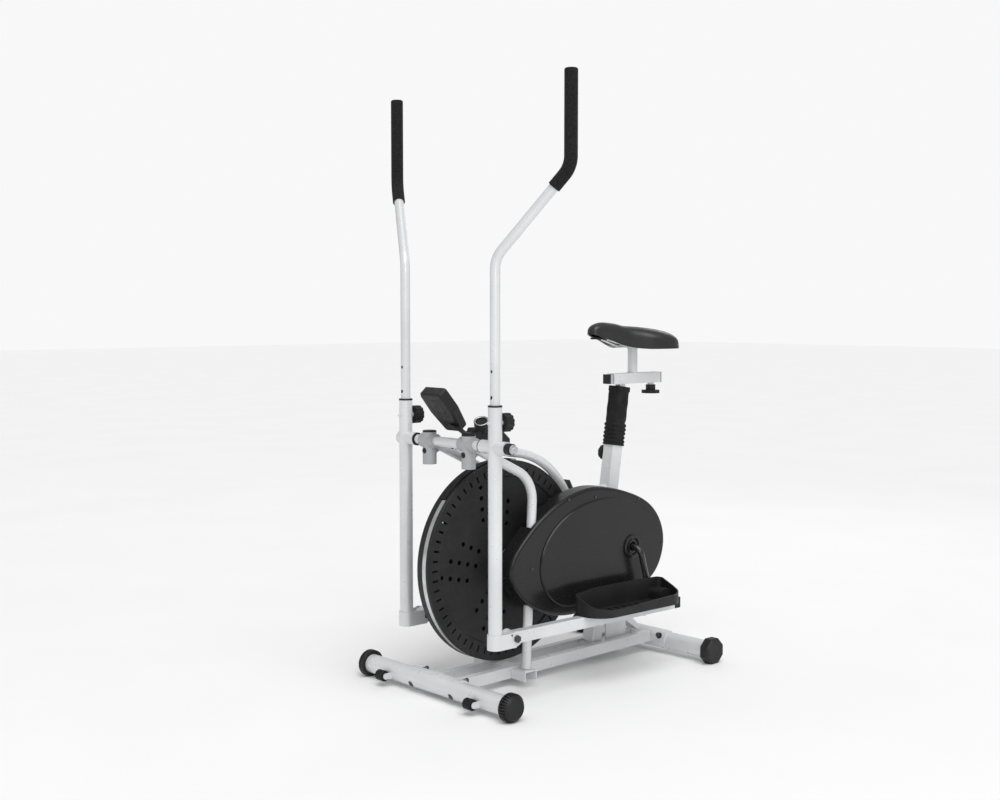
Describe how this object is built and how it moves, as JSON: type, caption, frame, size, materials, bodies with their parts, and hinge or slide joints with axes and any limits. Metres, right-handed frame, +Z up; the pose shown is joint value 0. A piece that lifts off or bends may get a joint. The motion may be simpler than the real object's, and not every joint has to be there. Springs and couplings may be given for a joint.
{
  "type": "elliptical trainer",
  "caption": "Elliptical trainer and exercise bike in one, with swinging arms, foot pedals, fan-type flywheel, chain case, saddle and small console",
  "frame": {"origin": "on the floor under the middle of the machine's overall box", "axes": "+X forward towards the handles and the front foot, +Y to the rider's left (the side with the chain cover), +Z up"},
  "size_m": [0.897, 0.707, 1.56],
  "materials": {
    "silver_paint": "satin",
    "steel": "zinc plated",
    "black_plastic": "fine grained",
    "cover_plastic": "glossy",
    "crank_black": "gloss black",
    "foam": "closed-cell foam",
    "vinyl": "soft vinyl",
    "rubber": "soft",
    "display": "clear window",
    "socket_grey": "textured powder coat"
  },
  "bodies": {
    "frame": {"base_rails": "silver_paint", "foot_tubes": "silver_paint", "foot_caps": "black_plastic", "foot_brackets": "silver_paint", "foot_bolts": "crank_black", "axles_and_cups": "steel", "seat_tube": "silver_paint", "rear_supports": "silver_paint", "arch_tube": "silver_paint", "fork_loops": "silver_paint", "cross_tube": "silver_paint", "t_sockets": "socket_grey", "socket_caps": "black_plastic", "chain": "steel", "seat_collar": "black_plastic", "chain_cover": "cover_plastic", "cover_fasteners": "crank_black", "tension_housing": "black_plastic", "friction_belt": "rubber", "console_case": "black_plastic", "console_lens": "display", "console_bracket": "black_plastic", "sensor_lead": "rubber"},
    "flywheel": {"wheel_discs": "black_plastic", "wheel_rim": "steel", "wheel_hub": "steel"},
    "crank": {"crank": "crank_black", "chainring": "crank_black"},
    "left_roller": {"left_roller": "rubber"},
    "right_roller": {"right_roller": "rubber"},
    "seat_post": {"seat_post": "steel", "rail_plug": "black_plastic", "bellows": "rubber"},
    "saddle": {"saddle_slider": "silver_paint", "slider_plug": "black_plastic", "saddle": "vinyl", "saddle_shell": "black_plastic", "saddle_clamp": "steel"},
    "slider_knob": {"slider_knob": "black_plastic"},
    "post_knob": {"post_knob": "black_plastic"},
    "tension_knob": {"tension_knob": "black_plastic"},
    "console_button": {"console_button": "black_plastic"},
    "left_arm": {"left_arm": "silver_paint", "left_arm_bushings": "black_plastic", "left_link_bolt": "crank_black"},
    "left_link": {"left_link": "silver_paint", "left_link_hardware": "steel", "left_pedal": "black_plastic"},
    "left_handle": {"left_handle": "silver_paint", "left_grip": "foam"},
    "left_handle_knob": {"left_handle_knob": "black_plastic"},
    "right_arm": {"right_arm": "silver_paint", "right_arm_bushings": "black_plastic", "right_link_bolt": "crank_black"},
    "right_link": {"right_link": "silver_paint", "right_link_hardware": "steel", "right_pedal": "black_plastic"},
    "right_handle": {"right_handle": "silver_paint", "right_grip": "foam"},
    "right_handle_knob": {"right_handle_knob": "black_plastic"}
  },
  "joints": [
    {"name": "crank_spin", "type": "hinge", "parent": "frame", "child": "crank", "pos_m": [-0.2215, 0, 0.332], "axis": [0, 1, 0], "continuous": true},
    {"name": "wheel_spin", "type": "hinge", "parent": "frame", "child": "flywheel", "pos_m": [0.1745, 0, 0.33], "axis": [0, 1, 0], "continuous": true},
    {"name": "left_arm_swing", "type": "hinge", "parent": "frame", "child": "left_arm", "pos_m": [0.3515, 0.177, 0.6515], "axis": [0, 1, 0], "range_deg": [-16, 16]},
    {"name": "right_arm_swing", "type": "hinge", "parent": "frame", "child": "right_arm", "pos_m": [0.3515, -0.177, 0.6515], "axis": [0, 1, 0], "range_deg": [-16, 16]},
    {"name": "left_link_pitch", "type": "hinge", "parent": "left_arm", "child": "left_link", "pos_m": [0.2975, 0.177, 0.172], "axis": [0, 1, 0], "range_deg": [-16, 16]},
    {"name": "right_link_pitch", "type": "hinge", "parent": "right_arm", "child": "right_link", "pos_m": [0.2975, -0.177, 0.172], "axis": [0, 1, 0], "range_deg": [-16, 16]},
    {"name": "left_handle_height", "type": "slide", "parent": "left_arm", "child": "left_handle", "axis": [0, 0, 1], "range_m": [0, 0.035]},
    {"name": "left_handle_knob_turn", "type": "hinge", "parent": "left_arm", "child": "left_handle_knob", "pos_m": [0.3215, 0.177, 0.712], "axis": [-1, 0, 0], "range_deg": [-180, 180]},
    {"name": "left_roller_spin", "type": "hinge", "parent": "frame", "child": "left_roller", "pos_m": [0.4345, 0.177, 0.029], "axis": [0, 1, 0], "continuous": true},
    {"name": "right_handle_height", "type": "slide", "parent": "right_arm", "child": "right_handle", "axis": [0, 0, 1], "range_m": [0, 0.035]},
    {"name": "right_handle_knob_turn", "type": "hinge", "parent": "right_arm", "child": "right_handle_knob", "pos_m": [0.3215, -0.177, 0.712], "axis": [-1, 0, 0], "range_deg": [-180, 180]},
    {"name": "right_roller_spin", "type": "hinge", "parent": "frame", "child": "right_roller", "pos_m": [0.4345, -0.177, 0.029], "axis": [0, 1, 0], "continuous": true},
    {"name": "seat_height", "type": "slide", "parent": "frame", "child": "seat_post", "axis": [-0.1495, 0, 0.9888], "range_m": [0, 0.1]},
    {"name": "post_knob_turn", "type": "hinge", "parent": "frame", "child": "post_knob", "pos_m": [-0.25331, -0.03, 0.582], "axis": [0, -1, 0], "range_deg": [-180, 180]},
    {"name": "saddle_fore_aft", "type": "slide", "parent": "seat_post", "child": "saddle", "axis": [1, 0, 0], "range_m": [-0.03, 0.012]},
    {"name": "slider_knob_turn", "type": "hinge", "parent": "saddle", "child": "slider_knob", "pos_m": [-0.4135, 0, 0.76], "axis": [0, 0, -1], "range_deg": [-180, 180]},
    {"name": "tension_knob_turn", "type": "hinge", "parent": "frame", "child": "tension_knob", "pos_m": [0.2605, 0.024, 0.692], "axis": [0.4506, 0.3505, 0.8211], "range_deg": [0, 300]},
    {"name": "console_button_press", "type": "slide", "parent": "frame", "child": "console_button", "axis": [0.766, 0, -0.6428], "range_m": [0, 0.0012], "stiffness_N_per_m": 150}
  ],
  "couplings": [
    {"joint": "wheel_spin", "follows": "crank_spin", "ratio": 2.8571},
    {"joint": "right_arm_swing", "follows": "left_arm_swing", "ratio": -1},
    {"joint": "left_link_pitch", "follows": "left_arm_swing", "ratio": -1},
    {"joint": "right_link_pitch", "follows": "left_arm_swing", "ratio": 1}
  ]
}
